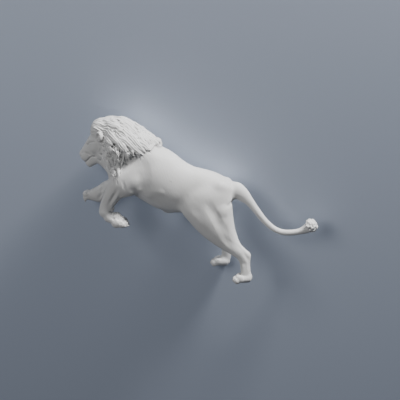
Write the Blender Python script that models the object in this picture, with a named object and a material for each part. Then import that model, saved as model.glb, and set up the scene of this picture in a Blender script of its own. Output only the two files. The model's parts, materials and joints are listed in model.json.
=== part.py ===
"""A white printed statuette of a springing lion, lying on its right side as it rests unheld.

The lion is drawn in centimetres of the living animal, rearing on its hind paws, with +X forward,
+Y its left side and +Z up. It is drawn first as lofted sections and ellipsoid muscles, then the
locks, toes, ears and face are laid on that body. SCALE brings it to the statuette's size, and
REST_UP is the direction in the lion that points up when it lies on the table.
"""

import math
import random

import bmesh
import bpy
from mathutils import Matrix, Vector
from mathutils.bvhtree import BVHTree

SCALE = 1 / 12
CM = 0.01 * SCALE

BODY_VOXEL = 1.15
DETAIL_VOXEL = 0.8
TRIANGLES = 9600

SOLE_HEIGHT = -1.5
SOLE_CUT = 0.45
REST_UP = (0.054, 0.9966, -0.062)
REST_CUT = 0.75
BASE_COLOR = (0.86, 0.86, 0.85, 1)
ROUGHNESS = 0.55

# Sections: top x, top z, bottom x, bottom z, half width, y of the middle
TRUNK = [
    (-3, 91, -3, 81, 5),
    (0, 97.4, -1, 75, 11),
    (8, 102.3, 4, 69, 14),
    (16, 105.8, 12, 66, 15.5),
    (27, 107.8, 27, 63, 16),
    (37, 109.3, 43, 61, 16),
    (47, 113.8, 61, 61, 17.5),
    (57.5, 121.6, 76, 64.5, 19.5),
    (68, 128, 92, 73, 20.5),
    (80, 131, 106, 81, 19.5),
    (97, 129, 117, 88, 16.5),
    (112, 121, 122, 93, 12),
    (117, 112, 123, 99, 6),
]
MANE = [
    (143, 137, 136, 108, 4),
    (141, 144.8, 133.5, 105.5, 6),
    (137, 150.5, 131, 103, 8),
    (132.5, 154, 128, 100.5, 10),
    (126, 156.5, 125.5, 98, 15),
    (119, 157.2, 123.5, 96.5, 20),
    (109, 156.4, 122, 96.5, 22.5),
    (99, 151.8, 118, 99, 22),
    (90, 146, 114, 103, 21.5),
    (83, 141, 110, 108, 20.5),
    (77, 137.5, 104, 113, 18),
    (74, 133.5, 98, 118, 14),
    (75, 129, 93, 121.5, 9),
]
NEAR_FORE = [
    (92, 122, 84, 104, 5, 14),
    (104, 112, 88, 92, 8, 15),
    (116, 104, 95, 82, 8.5, 15.5),
    (121, 96, 102, 79.5, 8, 15),
    (124.5, 88, 109, 77, 7, 14.5),
    (128, 80, 114, 71.5, 6, 14),
    (131, 72, 117, 67.5, 5.4, 13.5),
    (133, 64.5, 118.5, 65, 5.6, 13),
    (131.5, 58, 117, 64.5, 6, 13),
]
FAR_FORE = [
    (92, 122, 84, 104, 5, -14),
    (104, 112, 88, 92, 8, -15),
    (117, 104, 98, 82, 8.5, -15.5),
    (124, 95, 110, 76, 8, -15),
    (129, 87, 121, 72, 7, -14.5),
    (135, 83.5, 129, 68.5, 6, -14),
    (141, 79, 134.5, 63.5, 5.6, -13.5),
    (146, 77, 140, 63, 5.6, -13),
]
NEAR_HIND = [
    (36, 96, 4, 98, 5, 9),
    (46, 84, -1, 90, 9, 11),
    (50, 68, -3, 77, 10, 12.5),
    (41, 57, -4, 66, 10, 14),
    (30, 46, -6, 54, 8.5, 15.5),
    (19, 37.8, -9, 44.5, 7, 16.5),
    (7.3, 30.7, -12.5, 37, 5.8, 17.5),
    (-2.5, 25.8, -18, 32, 4.8, 18.5),
    (-9.6, 21.5, -23, 28, 4.2, 19.5),
    (-12.2, 15.6, -22.6, 18, 4.1, 20.5),
    (-12.8, 9, -23.6, 9, 4.6, 21.5),
    (-13, 4, -23, 4, 4.6, 22),
]
FAR_HIND = [
    (38, 96, 4, 98, 5, -9),
    (44, 84, -1, 90, 9, -11),
    (46, 68, 0, 77, 10, -12.5),
    (42, 57, 3, 66, 10, -14),
    (36, 45, 8, 53, 8.5, -15.5),
    (29, 37, 9, 43, 7, -16.5),
    (22, 31, 6, 37, 5.8, -17.5),
    (17, 25, 2.5, 31, 4.8, -18.5),
    (13.6, 20, 1.2, 26, 4.2, -19.5),
    (13.2, 14, 3, 17, 4.1, -20.5),
    (13.6, 9, 3.2, 9, 4.6, -21.5),
    (13.8, 4, 4, 4, 4.6, -22),
]
TAIL = [
    (6, 96, 6, 80, 6),
    (-3, 96.5, -2, 78, 6.5),
    (-9.3, 94.8, -4.5, 78.5, 6),
    (-16.3, 88.2, -9.5, 76, 5.2),
    (-22.1, 79, -15.5, 72.5, 4.2),
    (-29.1, 68.5, -22.5, 64.8, 3.7),
    (-36.1, 59.3, -30.5, 55.3, 3.3),
    (-43.2, 53, -39.2, 47.8, 3.1),
    (-49, 49.8, -47.2, 43.8, 3),
    (-56, 49, -56.5, 42.4, 3),
    (-64.3, 50, -65, 43.6, 3.2),
    (-72.5, 52.5, -73.5, 45.8, 3.4),
    (-76, 54, -78, 49, 3),
]
# Muscles on both sides: x, y, z, three radii, turn about Y in degrees
MUSCLES = [
    (86, 14, 116, 15, 5.5, 13, 35),
    (101, 15, 99, 16, 6, 9.5, 30),
    (94, 15.5, 92, 13, 6, 7.5, -20),
    (115, 11, 103, 7, 7, 10, 0),
    (117, 5, 95, 8, 6, 8, 0),
    (76, 15, 92, 16, 5, 13, 30),
    (59, 13.5, 88, 14, 4.5, 14, 20),
    (21, 9, 97.5, 8, 4, 4, 12),
    (10, 10, 90, 12, 7.5, 11, 0),
    (31, 12.5, 70, 17, 7.5, 10, -42),
    (6, 13, 69, 8, 6.5, 16, 12),
    (17, 15.5, 52, 13, 5.5, 7, -35),
]

HEAD_BASE = (122.4, 0, 136.5)
HEAD_PITCH = 33
HEAD_YAW = -9
SKULL = [
    (-2, 5, 0, -6, 7),
    (5, 11, 5, -10, 11),
    (11, 13, 11, -12, 12.4),
    (17, 12.6, 16, -13, 11.8),
    (21.5, 10.2, 21, -12, 9.4),
    (26, 8, 26, -10, 7.2),
    (31, 5.8, 31.5, -8.6, 6),
    (35, 4, 36, -8, 5.6),
    (37.4, 2.4, 38, -7.4, 4.2),
    (38.6, 0.4, 39, -6.2, 2.2),
]
JAW = [
    (10, -6, 10, -15, 9.4),
    (20, -7.6, 19, -16, 7.4),
    (28, -9, 27, -16.2, 5.9),
    (34, -9.9, 33, -16.4, 4.9),
    (37.6, -10.4, 36.4, -16.2, 3.8),
    (39.2, -11.4, 38.2, -14.6, 2),
]
# Forms on both sides of the head: x, y, z, three radii, turn about Y
HEAD_FORMS = [
    (16, 9.6, 1.5, 8, 3.2, 4.4, 8),
    (19.6, 5.6, 9.6, 4.4, 3, 2.4, 25),
    (34.6, 3, -4, 4.6, 3.3, 4.4, 10),
    (29, 4.6, -4.6, 5, 2.6, 3.6, 10),
    (12, 9.4, -9, 7, 3, 5, 0),
]
EYE = (21.8, 6.5, 7.4)
EYE_RADIUS = 1.75
EAR = (5.1, 12.3, 10.6)
EAR_RADIUS = 4.6

# Hair runs this many degrees below straight back, at points x, z of the side view
HAIR_FLOW = [
    (143, 142, -20), (136, 150, 0), (122, 156, 8), (105, 153, 28), (90, 146, 42),
    (130, 140, 28), (118, 140, 36), (106, 138, 42), (94, 132, 48),
    (129, 126, 58), (116, 124, 55), (103, 122, 52), (92, 120, 46),
    (136, 108, 70), (126, 110, 76), (113, 108, 66), (128, 97, 82), (118, 97, 76),
]


def clear_scene():
    for obj in list(bpy.data.objects):
        bpy.data.objects.remove(obj)


def smooth_step(a, b, c, d, t):
    """The Catmull-Rom value between b and c."""
    linear = 2 * b + (c - a) * t
    return 0.5 * (linear + (2 * a - 5 * b + 4 * c - d) * t * t + (3 * b - a - 3 * c + d) * t ** 3)


def between(stations, steps):
    """The stations with more drawn smoothly between each two."""
    found = []
    last = len(stations) - 1
    for i in range(last):
        near = [stations[max(0, min(last, i + k))] for k in (-1, 0, 1, 2)]
        for s in range(steps):
            found.append(tuple(smooth_step(*values, s / steps) for values in zip(*near)))
    return found + [stations[-1]]


def ring_points(station, sides):
    """Points round one elliptical section."""
    tx, tz, bx, bz, width, y = station
    middle = Vector(((tx + bx) / 2, y, (tz + bz) / 2))
    reach = Vector(((tx - bx) / 2, 0, (tz - bz) / 2))
    turns = [2 * math.pi * k / sides for k in range(sides)]
    return [middle + reach * math.cos(t) + Vector((0, width * math.sin(t), 0)) for t in turns]


def skin(mesh, rings):
    """A closed skin through rings of points."""
    made = [[mesh.verts.new(p) for p in ring] for ring in rings]
    sides = len(made[0])
    for one, two in zip(made, made[1:]):
        for k in range(sides):
            n = (k + 1) % sides
            mesh.faces.new((one[k], one[n], two[n], two[k]))
    mesh.faces.new(made[0][::-1])
    mesh.faces.new(made[-1])


def add_loft(mesh, stations, frame=Matrix.Identity(4), sides=24, steps=4):
    rows = between([tuple(s) + (0,) * (6 - len(s)) for s in stations], steps)
    skin(mesh, [[frame @ p for p in ring_points(row, sides)] for row in rows])


def add_ball(mesh, centre, radii, turn=0, frame=Matrix.Identity(4)):
    """An ellipsoid turned about Y."""
    place = Matrix.Translation(centre) @ Matrix.Rotation(math.radians(turn), 4, "Y")
    size = Matrix.Diagonal((*radii, 1))
    bmesh.ops.create_icosphere(mesh, subdivisions=3, radius=1, matrix=frame @ place @ size)


def add_pairs(mesh, rows, frame=Matrix.Identity(4)):
    for x, y, z, rx, ry, rz, turn in rows:
        for side in (1, -1):
            add_ball(mesh, (x, side * y, z), (rx, ry, rz), turn, frame)


def add_strand(mesh, points, normals, width, height, sides=8):
    """A lock of hair that swells and ends in a point."""
    rings = []
    last = len(points) - 1
    for i, (p, normal) in enumerate(zip(points, normals)):
        along = (points[min(last, i + 1)] - points[max(0, i - 1)]).normalized()
        across = along.cross(normal).normalized()
        t = i / last
        swell = max(0.06, min(1, 0.55 + 1.6 * t) * (1 - t ** 2.2))
        turns = [2 * math.pi * k / sides for k in range(sides)]
        ring = [p + across * (width * swell * math.cos(a)) + normal * (height * swell * math.sin(a)) for a in turns]
        rings.append(ring)
    skin(mesh, rings)


def head_frame():
    yaw = Matrix.Rotation(math.radians(HEAD_YAW), 4, "Z")
    return Matrix.Translation(HEAD_BASE) @ yaw @ Matrix.Rotation(math.radians(HEAD_PITCH), 4, "Y")


def paw_frame(wrist, heading, roll=0, side=1):
    """Local x runs to the toes, heading degrees below straight ahead, and z out of the back of the paw."""
    turn = Matrix.Rotation(math.radians(heading), 4, "Y") @ Matrix.Rotation(math.radians(roll), 4, "X")
    return Matrix.Translation(wrist) @ turn @ Matrix.Diagonal((1, side, 1, 1))


def add_paw(mesh, frame, length, thick, claw, curl=0):
    """A paw with four toes: its root at x 0, its sole along z 0."""
    k = length / 18
    palm = [
        (-3.5, thick * 0.9, -3, 0.8, 3.6),
        (0, thick, 0, 0, 4.8),
        (5, thick * 0.9, 5, 0, 5.6),
        (10, thick * 0.8, 10, 0.2, 5.4),
        (13, thick * 0.62, 13, 0.6, 4.4),
    ]
    add_loft(mesh, [(a * k, b, c * k, d, w * k) for a, b, c, d, w in palm], frame)
    for y, reach in ((-4.3, -1.9), (-1.5, 0), (1.5, 0.1), (4.3, -1.6)):
        toe = [
            (8 + reach, thick * 0.86, 8 + reach, 0.6, 1.5, y * 0.86),
            (11.5 + reach, thick * 0.84, 11.5 + reach, 0.2, 1.75, y),
            (14.6 + reach, thick * 0.66 - curl * 0.3, 14.4 + reach, 0 - curl * 0.5, 1.8, y * 1.04),
            (17 + reach, thick * 0.44 - curl, 16.4 + reach, 0 - curl, 1.5, y * 1.06),
            (18.2 + reach, thick * 0.24 - curl, 17.4 + reach, 0.3 - curl, 0.8, y * 1.06),
        ]
        add_loft(mesh, [(a * k, b, c * k, d, w * k, v * k) for a, b, c, d, w, v in toe], frame, 16)
        tip = Vector(((17.2 + reach) * k, y * 1.06 * k, thick * 0.4 - curl))
        bend = [Vector((0, 0, 0)), Vector((1.4, 0, 0.1)), Vector((2.5, 0, -0.7)), Vector((2.9, 0, -1.9))]
        points = [frame @ (tip + b * claw) for b in bend]
        add_strand(mesh, points, [(frame.to_3x3() @ Vector((0, 0, 1))).normalized()] * 4, 0.7 * claw, 0.8 * claw)


def body_mass():
    mesh = bmesh.new()
    head = head_frame()
    for stations in (TRUNK, MANE, NEAR_FORE, FAR_FORE, NEAR_HIND, FAR_HIND, TAIL):
        add_loft(mesh, stations)
    add_loft(mesh, SKULL, head)
    add_loft(mesh, JAW, head)
    add_pairs(mesh, MUSCLES)
    add_pairs(mesh, HEAD_FORMS, head)
    add_ball(mesh, (36.4, 0, 1.6), (2.6, 3.1, 2), 30, head)
    add_ball(mesh, (35.6, 0, -14.2), (2.8, 3.2, 3), 0, head)
    add_ball(mesh, (62, 0, 62.5), (9, 3.6, 3.6), 10)
    return mesh


def flow_at(point):
    """The way the hair runs on the body there."""
    total = 0
    angle = 0
    for x, z, degrees in HAIR_FLOW:
        weight = 1 / ((point.x - x) ** 2 + (point.z - z) ** 2 + 4) ** 1.5
        total += weight
        angle += weight * degrees
    angle = math.radians(angle / total)
    side = max(-1, min(1, point.y / 6))
    spread = 0.45 * side * max(0, 1 - abs(point.y) / 18) if point.z > 130 else 0.1 * side
    return Vector((-math.cos(angle), spread, -math.sin(angle)))


def lock_path(tree, start, length, wave, phase, lift, steps=9):
    """A wavy line over the body that follows the hair's flow."""
    points = []
    normals = []
    place, normal = tree.find_nearest(start)[:2]
    for i in range(steps + 1):
        t = i / steps
        points.append(place + normal * (lift * math.sin(math.pi * min(1, t * 1.1) ** 0.8)))
        normals.append(normal)
        along = flow_at(place)
        along = (along - normal * along.dot(normal)).normalized()
        across = along.cross(normal)
        step = along + across * (wave * math.cos(phase + 5.5 * t))
        place, normal = tree.find_nearest(place + step * (length / steps))[:2]
    return points, normals


def add_mane_locks(mesh, tree, rows, width, length, seed):
    dice = random.Random(seed)
    stations = between(MANE, 4)
    for row in range(rows):
        station = stations[int(1 + (len(stations) - 5) * row / (rows - 1))]
        reach = math.hypot(station[0] - station[2], station[1] - station[3]) / 2
        count = max(3, int(math.pi * (reach + station[4]) / 2 / (width * 1.75)))
        for k in range(count * 2):
            turn = 2 * math.pi * (k + 0.5 * (row % 2) + dice.uniform(-0.2, 0.2)) / (count * 2)
            side = abs(math.sin(turn))
            if station[0] > 127 and side > 0.75 or math.cos(turn) < -0.9 and row > 5:
                continue
            middle = Vector(((station[0] + station[2]) / 2, 0, (station[1] + station[3]) / 2))
            out = Vector(((station[0] - station[2]) / 2, 0, (station[1] - station[3]) / 2))
            start = middle + out * math.cos(turn) + Vector((0, station[4] * math.sin(turn), 0))
            long = length * dice.uniform(0.8, 1.15) * (1 - 0.4 * max(0, row / rows - 0.5) * side)
            wave = dice.uniform(0.2, 0.5)
            points, normals = lock_path(tree, start, long, wave, dice.uniform(0, 6), dice.uniform(0.5, 1.3))
            add_strand(mesh, points, normals, width * dice.uniform(0.8, 1.15), 1.5)


def add_ears(mesh, head):
    for side in (1, -1):
        place = Matrix.Translation((EAR[0], side * EAR[1], EAR[2]))
        turn = Matrix.Rotation(math.radians(side * 38), 4, "Z") @ Matrix.Rotation(math.radians(-28), 4, "Y")
        frame = head @ place @ turn
        add_ball(mesh, (-1.1, 0, 0), (1.6, EAR_RADIUS, EAR_RADIUS), 0, frame)
        rim = []
        normals = []
        for k in range(13):
            a = math.radians(-120 + 20 * k)
            rim.append(frame @ Vector((0.3, EAR_RADIUS * 0.88 * math.sin(a), EAR_RADIUS * 0.88 * math.cos(a))))
            normals.append((frame.to_3x3() @ Vector((1, 0, 0))).normalized())
        add_tube(mesh, rim, normals, 1.1, 1.2)


def add_tube(mesh, points, normals, width, height, sides=8):
    rings = []
    last = len(points) - 1
    for i, (p, normal) in enumerate(zip(points, normals)):
        along = (points[min(last, i + 1)] - points[max(0, i - 1)]).normalized()
        across = along.cross(normal).normalized()
        turns = [2 * math.pi * k / sides for k in range(sides)]
        rings.append([p + across * (width * math.cos(a)) + normal * (height * math.sin(a)) for a in turns])
    skin(mesh, rings)


def add_tuft(mesh, seed):
    """The curled locks at the end of the tail."""
    dice = random.Random(seed)
    heart = Vector((-79.5, 0, 54.5))
    add_ball(mesh, heart, (5.6, 5, 5.2))
    for k in range(16):
        high = -0.9 + 1.8 * (k + 0.5) / 16
        turn = k * 2.4
        out = Vector((math.sqrt(1 - high * high) * math.cos(turn), math.sqrt(1 - high * high) * math.sin(turn), high))
        if out.x > 0.75:
            continue
        swirl = out.cross(Vector((1, 0, 0.3))).normalized() * dice.uniform(0.5, 1)
        points = [heart + out * (3.6 + 1.1 * s) + swirl * (0.5 * s * s) + Vector((-0.3 * s, 0, 0)) for s in range(4)]
        add_strand(mesh, points, [out.cross(swirl).normalized()] * 4, 1.9, 1.6)


def detail_mass(tree):
    mesh = bmesh.new()
    head = head_frame()
    add_paw(mesh, paw_frame((-21, 22, SOLE_HEIGHT), 0), 15.6, 9.8, 0.5)
    add_paw(mesh, paw_frame((8.6, -22, SOLE_HEIGHT), 0), 15.6, 9.8, 0.5)
    add_paw(mesh, paw_frame((121, 13, 62), 148), 21, 10, 1)
    add_paw(mesh, paw_frame((142.5, -13, 66), 2), 13.5, 11, 1, 4.6)
    add_mane_locks(mesh, tree, 9, 2.5, 17, 4)
    add_ears(mesh, head)
    add_tuft(mesh, 3)
    for side in (1, -1):
        add_ball(mesh, (EYE[0], side * EYE[1], EYE[2]), (EYE_RADIUS,) * 3, 0, head)
    return mesh


def mesh_object(name, mesh):
    data = bpy.data.meshes.new(name)
    mesh.normal_update()
    mesh.to_mesh(data)
    mesh.free()
    obj = bpy.data.objects.new(name, data)
    bpy.context.scene.collection.objects.link(obj)
    return obj


def modified(obj, kind, **settings):
    """The object with one modifier applied."""
    modifier = obj.modifiers.new(kind.title(), kind)
    for key, value in settings.items():
        setattr(modifier, key, value)
    bpy.context.view_layer.update()
    made = bpy.data.meshes.new_from_object(obj.evaluated_get(bpy.context.evaluated_depsgraph_get()))
    obj.modifiers.clear()
    obj.data = made
    return obj


def cut_flat(obj, height):
    """Takes off what is under the height and closes the cut."""
    mesh = bmesh.new()
    mesh.from_mesh(obj.data)
    parts = mesh.verts[:] + mesh.edges[:] + mesh.faces[:]
    cut = bmesh.ops.bisect_plane(mesh, geom=parts, plane_co=(0, 0, height), plane_no=(0, 0, 1), clear_inner=True)
    edges = [g for g in cut["geom_cut"] if isinstance(g, bmesh.types.BMEdge)]
    bmesh.ops.holes_fill(mesh, edges=edges, sides=0)
    bmesh.ops.triangulate(mesh, faces=[f for f in mesh.faces if len(f.verts) > 3])
    bmesh.ops.recalc_face_normals(mesh, faces=mesh.faces)
    mesh.to_mesh(obj.data)
    mesh.free()


def lowest(obj, axis):
    return min(v.co[axis] for v in obj.data.vertices)


def highest(obj, axis):
    return max(v.co[axis] for v in obj.data.vertices)


def lay_down(obj):
    """Turns the reared lion onto its right side, with its nose toward -X and its back toward +Y."""
    up = Vector(REST_UP).normalized()
    turn = up.rotation_difference(Vector((0, 0, 1))).to_matrix().to_4x4()
    obj.data.transform(Matrix.Rotation(math.pi, 4, "Z") @ turn)


def to_origin(obj):
    """Sets the origin under the middle of the bounding box, and tells how far the lion moved."""
    middle = [(lowest(obj, k) + highest(obj, k)) / 2 for k in (0, 1)]
    shift = (-middle[0], -middle[1], -lowest(obj, 2))
    obj.data.transform(Matrix.Translation(shift))
    return shift


def print_plastic():
    material = bpy.data.materials.new("white_print")
    material.use_nodes = True
    shader = material.node_tree.nodes["Principled BSDF"]
    shader.inputs["Base Color"].default_value = BASE_COLOR
    shader.inputs["Roughness"].default_value = ROUGHNESS
    return material


def main():
    clear_scene()
    lion = mesh_object("lion", body_mass())
    modified(lion, "REMESH", mode="VOXEL", voxel_size=BODY_VOXEL)
    modified(lion, "SMOOTH", factor=0.5, iterations=6)
    whole = bmesh.new()
    whole.from_mesh(lion.data)
    details = detail_mass(BVHTree.FromBMesh(whole))
    extra = bpy.data.meshes.new("details")
    details.to_mesh(extra)
    details.free()
    whole.from_mesh(extra)
    whole.to_mesh(lion.data)
    whole.free()
    modified(lion, "REMESH", mode="VOXEL", voxel_size=DETAIL_VOXEL)
    modified(lion, "SMOOTH", factor=0.5, iterations=1)
    count = len(lion.data.polygons) * 2
    modified(lion, "DECIMATE", ratio=TRIANGLES / count)
    cut_flat(lion, SOLE_HEIGHT + SOLE_CUT)
    lay_down(lion)
    cut_flat(lion, lowest(lion, 2) + REST_CUT)
    lion.data.transform(Matrix.Scale(CM, 4))
    lion.data.materials.append(print_plastic())
    shift = to_origin(lion)
    print("lion", len(lion.data.polygons), "shift", [round(v, 6) for v in shift])
    return shift


SHIFT = main()
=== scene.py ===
# %% [markdown]
# # A printed lion, rearing, laid on its side
# The piece is one solid figure of a male lion in matte white print. It is about 20 cm long.
# On the real object the whole animal is one body: mane, paws, claws and tail tuft grow out of it.
# So this lesson builds rough forms, melts them into one skin, carves the skin and lays it down.

# %% Load the measured model
import itertools
import json
import math
import random

import bmesh
import bpy
import numpy as np
from mathutils import Matrix, Vector
from mathutils.bvhtree import BVHTree

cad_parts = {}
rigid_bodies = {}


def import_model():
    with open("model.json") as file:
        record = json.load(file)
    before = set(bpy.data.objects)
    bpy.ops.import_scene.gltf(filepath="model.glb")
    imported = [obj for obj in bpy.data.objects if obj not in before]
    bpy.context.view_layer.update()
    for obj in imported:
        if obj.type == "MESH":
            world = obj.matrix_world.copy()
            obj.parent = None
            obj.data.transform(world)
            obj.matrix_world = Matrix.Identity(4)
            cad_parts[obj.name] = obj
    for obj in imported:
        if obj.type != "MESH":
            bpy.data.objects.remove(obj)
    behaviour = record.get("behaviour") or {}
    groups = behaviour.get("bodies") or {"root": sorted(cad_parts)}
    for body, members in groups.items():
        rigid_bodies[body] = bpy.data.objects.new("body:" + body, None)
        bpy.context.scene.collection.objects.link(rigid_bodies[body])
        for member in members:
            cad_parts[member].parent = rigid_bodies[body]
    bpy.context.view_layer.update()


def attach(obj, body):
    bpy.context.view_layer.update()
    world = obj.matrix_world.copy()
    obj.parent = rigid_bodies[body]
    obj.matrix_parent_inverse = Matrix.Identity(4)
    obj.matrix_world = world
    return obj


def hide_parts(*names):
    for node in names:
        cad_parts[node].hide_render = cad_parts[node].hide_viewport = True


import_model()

# %% [markdown]
# ## The lion's own measures
# A sculptor works from the living animal's sizes and reduces them at the end. Here one unit is
# one centimetre of a real lion. X runs to the nose, Y to the lion's left, Z up, and the lion
# rears on its hind paws. The last step makes it twelve times smaller and lays it on its side.

# %% Scale and finish sizes
CM = 0.01 / 12
BODY_VOXEL = 0.85
CARVE_VOXEL = 0.38
MOST_TRIANGLES = 195000
SOLE_HEIGHT = -1.5
SOLE_CUT = 0.45
REST_UP = (0.054, 0.9966, -0.062)
SHIFT = (0.027006, -0.068195, 0.021434)
IDENTITY = Matrix.Identity(4)

# %% [markdown]
# ## Cross sections
# Each row is one slice through the body: the top point (x, z), the bottom point (x, z), half the
# width, and the y of its middle. Slices are the quickest honest way to hold a known side outline,
# because the top and bottom points are the outline itself.

# %% Sections of the body, mane, legs and tail
TRUNK = [
    (-3, 91, -3, 81, 5), (0, 96.4, -1, 75, 10.4), (8, 100.8, 4, 69, 13.4), (16, 105, 12, 66, 15.2),
    (27, 107.8, 27, 63, 16), (37, 109.3, 43, 61, 16), (47, 113.8, 61, 61, 17.5),
    (57.5, 121.6, 76, 64.5, 19.5), (68, 128, 92, 73, 20.5), (80, 131, 106, 81, 19.5),
    (97, 129, 117, 88, 16.5), (112, 121, 122, 93, 12), (117, 112, 123, 99, 6),
]
MANE = [
    (143, 137, 136, 108, 4), (141, 144.8, 133.5, 105.8, 6), (137, 151, 131, 103.4, 8),
    (132.5, 154.8, 128, 101, 9.8), (126, 157, 125.5, 98.7, 14.3), (119, 157.6, 123.5, 97.8, 19),
    (109, 156.8, 122, 98.4, 21.4), (99, 152.3, 118, 101.3, 20.8), (90, 146.4, 113.5, 105.8, 20.2),
    (83, 141, 109.5, 110.3, 19.2), (77, 137, 103.5, 115, 17), (74, 132.8, 97.5, 119.5, 13),
    (75, 128, 92.5, 122.5, 8),
]
NEAR_FORE = [
    (92, 122, 84, 104, 5, 14), (104, 112, 88, 92, 8, 15), (116, 104, 95, 82, 8.5, 15.5),
    (121, 96, 102, 79.5, 8, 15), (124.5, 88, 109, 77, 7, 14.5), (128, 80, 114, 71.5, 6, 14),
    (131, 72, 117, 67.5, 5.4, 13.5), (133, 64.5, 118.5, 65, 5.6, 13), (131.5, 58, 117, 64.5, 6, 13),
]
FAR_FORE = [
    (92, 122, 84, 104, 5, -14), (104, 112, 88, 92, 8, -15), (117, 104, 98, 82, 8.5, -15.5),
    (124, 95, 110, 76, 8, -15), (129, 87, 121, 72, 7, -14.5), (135, 83.5, 129, 68.5, 6, -14),
    (141, 79, 134.5, 63.5, 5.6, -13.5), (146, 77, 140, 63, 5.6, -13),
]
NEAR_HIND = [
    (36, 96, 4, 98, 5, 9), (46, 84, -1, 90, 9, 11), (50, 68, -3, 77, 10, 12.5),
    (41, 57, -4, 66, 10, 14), (30, 46, -6, 54, 8.5, 15.5), (19, 37.8, -9, 44.5, 7, 16.5),
    (7.3, 30.7, -12.5, 37, 5.8, 17.5), (-2.5, 25.8, -18, 32, 4.8, 18.5),
    (-9.6, 21.5, -23, 28, 4.2, 19.5), (-12.2, 15.6, -22.6, 18, 4.1, 20.5),
    (-12.8, 9, -23.6, 9, 4.6, 21.5), (-13, 4, -23, 4, 4.6, 22),
]
FAR_HIND = [
    (38, 96, 4, 98, 5, -9), (44, 84, -1, 90, 9, -11), (46, 68, 0, 77, 10, -12.5),
    (42, 57, 3, 66, 10, -14), (36, 45, 8, 53, 8.5, -15.5), (29, 37, 9, 43, 7, -16.5),
    (22, 31, 6, 37, 5.8, -17.5), (17, 25, 2.5, 31, 4.8, -18.5), (13.6, 20, 1.2, 26, 4.2, -19.5),
    (13.2, 14, 3, 17, 4.1, -20.5), (13.6, 9, 3.2, 9, 4.6, -21.5), (13.8, 4, 4, 4, 4.6, -22),
]
TAIL = [
    (6, 96, 6, 80, 6), (-3, 96.5, -2, 78, 6.5), (-9.3, 94.8, -4.5, 78.5, 6),
    (-16.3, 88.2, -9.5, 76, 5.2), (-22.1, 79, -15.5, 72.5, 4.2), (-29.1, 68.5, -22.5, 64.8, 3.7),
    (-36.1, 59.3, -30.5, 55.3, 3.3), (-43.2, 53, -39.2, 47.8, 3.1), (-49, 49.8, -47.2, 43.8, 3),
    (-56, 49, -56.5, 42.4, 3), (-64.3, 50, -65, 43.6, 3.2), (-70, 52.2, -71, 45, 3.6),
    (-74.4, 56.6, -76, 46.2, 4.8), (-79, 59.4, -80.6, 48, 5.4), (-82.6, 58.4, -83.4, 50.4, 4.4),
]
print("sections", sum(len(rows) for rows in (TRUNK, MANE, NEAR_FORE, FAR_FORE, NEAR_HIND, FAR_HIND, TAIL)))

# %% [markdown]
# ## Lofting by hand: rings, then bridges
# A limb is made as one would by hand: a circle is added, set to the size and slant of its slice,
# and when all the circles stand in a row, Bridge Edge Loops skins them. The rows between two
# slices are found with a smooth curve, so the skin flows. Extruding ring by ring gives the same
# mesh with more steps.


# %% Ring tools
def smooth_between(a, b, c, d, t):
    linear = 2 * b + (c - a) * t
    return 0.5 * (linear + (2 * a - 5 * b + 4 * c - d) * t * t + (3 * b - a - 3 * c + d) * t**3)


def filled_in(rows, steps):
    found = []
    last = len(rows) - 1
    for i in range(last):
        near = [rows[max(0, min(last, i + k))] for k in (-1, 0, 1, 2)]
        found += [tuple(smooth_between(*v, s / steps) for v in zip(*near)) for s in range(steps)]
    return found + [rows[-1]]


def deselect():
    bpy.ops.object.select_all(action="DESELECT")


def select(*pieces):
    """Selects these pieces alone and makes the first one active."""
    deselect()
    for piece in pieces:
        piece.select_set(True)
    bpy.context.view_layer.objects.active = pieces[0]


def loft(name, slices, place=IDENTITY, sides=36, steps=5):
    """Adds a circle for each slice and bridges them into one closed skin."""
    deselect()
    rows = filled_in([tuple(s) + (0,) * (6 - len(s)) for s in slices], steps)
    bpy.ops.mesh.primitive_circle_add(vertices=sides, radius=1)
    piece = bpy.context.object
    piece.name = name
    bpy.ops.object.mode_set(mode="EDIT")
    bpy.ops.mesh.delete(type="VERT")
    for tx, tz, bx, bz, width, y in rows:
        bpy.ops.mesh.primitive_circle_add(vertices=sides, radius=1)
        ring = Matrix.Identity(4)
        ring.col[0] = ((tx - bx) / 2, 0, (tz - bz) / 2, 0)
        ring.col[1] = (0, width, 0, 0)
        ring.col[3] = ((tx + bx) / 2, y, (tz + bz) / 2, 1)
        mesh = bmesh.from_edit_mesh(piece.data)
        new = [v for v in mesh.verts if v.select]
        bmesh.ops.transform(mesh, matrix=place @ ring, verts=new)
    bpy.ops.mesh.select_all(action="SELECT")
    bpy.ops.mesh.bridge_edge_loops()
    bpy.ops.mesh.select_all(action="SELECT")
    bpy.ops.mesh.fill_holes(sides=0)
    bpy.ops.mesh.select_all(action="SELECT")
    bpy.ops.mesh.normals_make_consistent(inside=False)
    bpy.ops.object.mode_set(mode="OBJECT")
    return piece


def ball(centre, radii, turn=0, place=IDENTITY):
    """Adds a sphere, stretched and turned about the width axis."""
    deselect()
    bpy.ops.mesh.primitive_ico_sphere_add(subdivisions=4, radius=1)
    piece = bpy.context.object
    turned = Matrix.Translation(centre) @ Matrix.Rotation(math.radians(turn), 4, "Y")
    piece.matrix_world = place @ turned @ Matrix.Diagonal((*radii, 1))
    return piece


def pairs(rows, place=IDENTITY):
    made = []
    for x, y, z, rx, ry, rz, turn in rows:
        made += [ball((x, side * y, z), (rx, ry, rz), turn, place) for side in (1, -1)]
    return made


def joined(name, pieces):
    """Joins pieces into one object at the origin."""
    select(*pieces)
    bpy.ops.object.join()
    bpy.ops.object.transform_apply(location=True, rotation=True, scale=True)
    pieces[0].name = name
    return pieces[0]


def applied(piece, kind, **settings):
    """Adds one modifier with its settings and applies it."""
    select(piece)
    modifier = piece.modifiers.new(kind.title(), kind)
    for key, value in settings.items():
        setattr(modifier, key, value)
    bpy.ops.object.modifier_apply(modifier=modifier.name)
    return piece


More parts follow.
